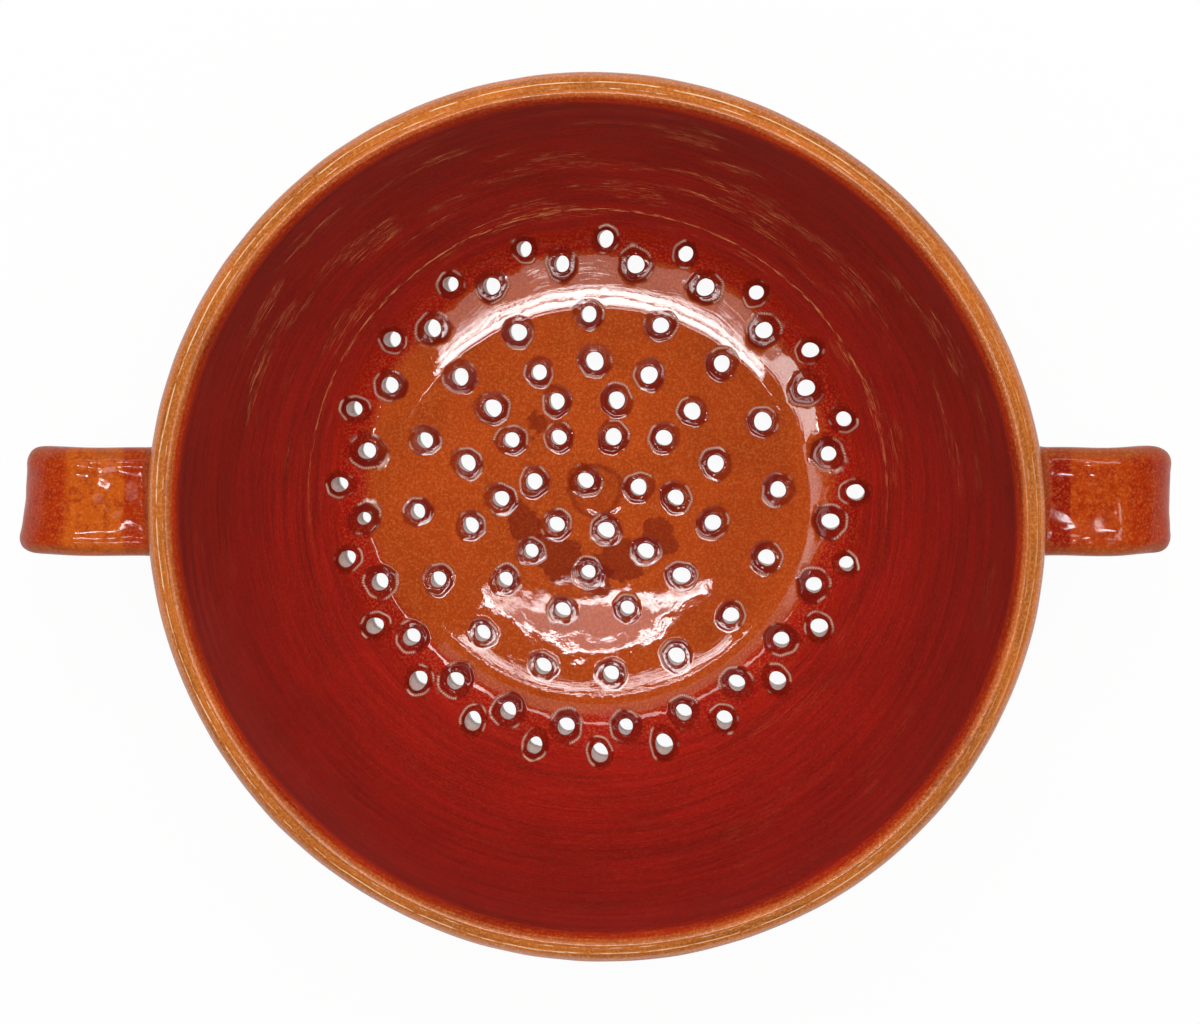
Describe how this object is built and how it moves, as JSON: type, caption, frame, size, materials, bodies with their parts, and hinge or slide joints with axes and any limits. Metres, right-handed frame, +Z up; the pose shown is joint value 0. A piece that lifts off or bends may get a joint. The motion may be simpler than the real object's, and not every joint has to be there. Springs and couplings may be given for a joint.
{
  "type": "couscous steamer bowl",
  "caption": "Deep round glazed terracotta steamer bowl with a hand-punched sieve floor, a rolled rim and strap ear handles.",
  "frame": {"origin": "middle of the flat base that the bowl stands on", "axes": "+Z up through the open mouth; X runs from the left handle to the right handle; +Y away from a user who has the handles left and right"},
  "size_m": [0.3798, 0.28, 0.13],
  "materials": {
    "floor_glaze": "glossy clear glaze over orange-brown terracotta",
    "wall_glaze": "glossy clear glaze over deep red terracotta with brush streaks",
    "rim_glaze": "thin glossy glaze over ochre terracotta",
    "handle_glaze": "glossy glaze over orange terracotta"
  },
  "bodies": {
    "root": {"sieve_floor": "floor_glaze", "bowl_wall": "wall_glaze", "rim_roll": "rim_glaze", "left_handle_strap": "handle_glaze", "right_handle_strap": "handle_glaze", "left_upper_lute": "handle_glaze", "left_lower_lute": "handle_glaze", "right_upper_lute": "handle_glaze", "right_lower_lute": "handle_glaze"}
  },
  "joints": []
}
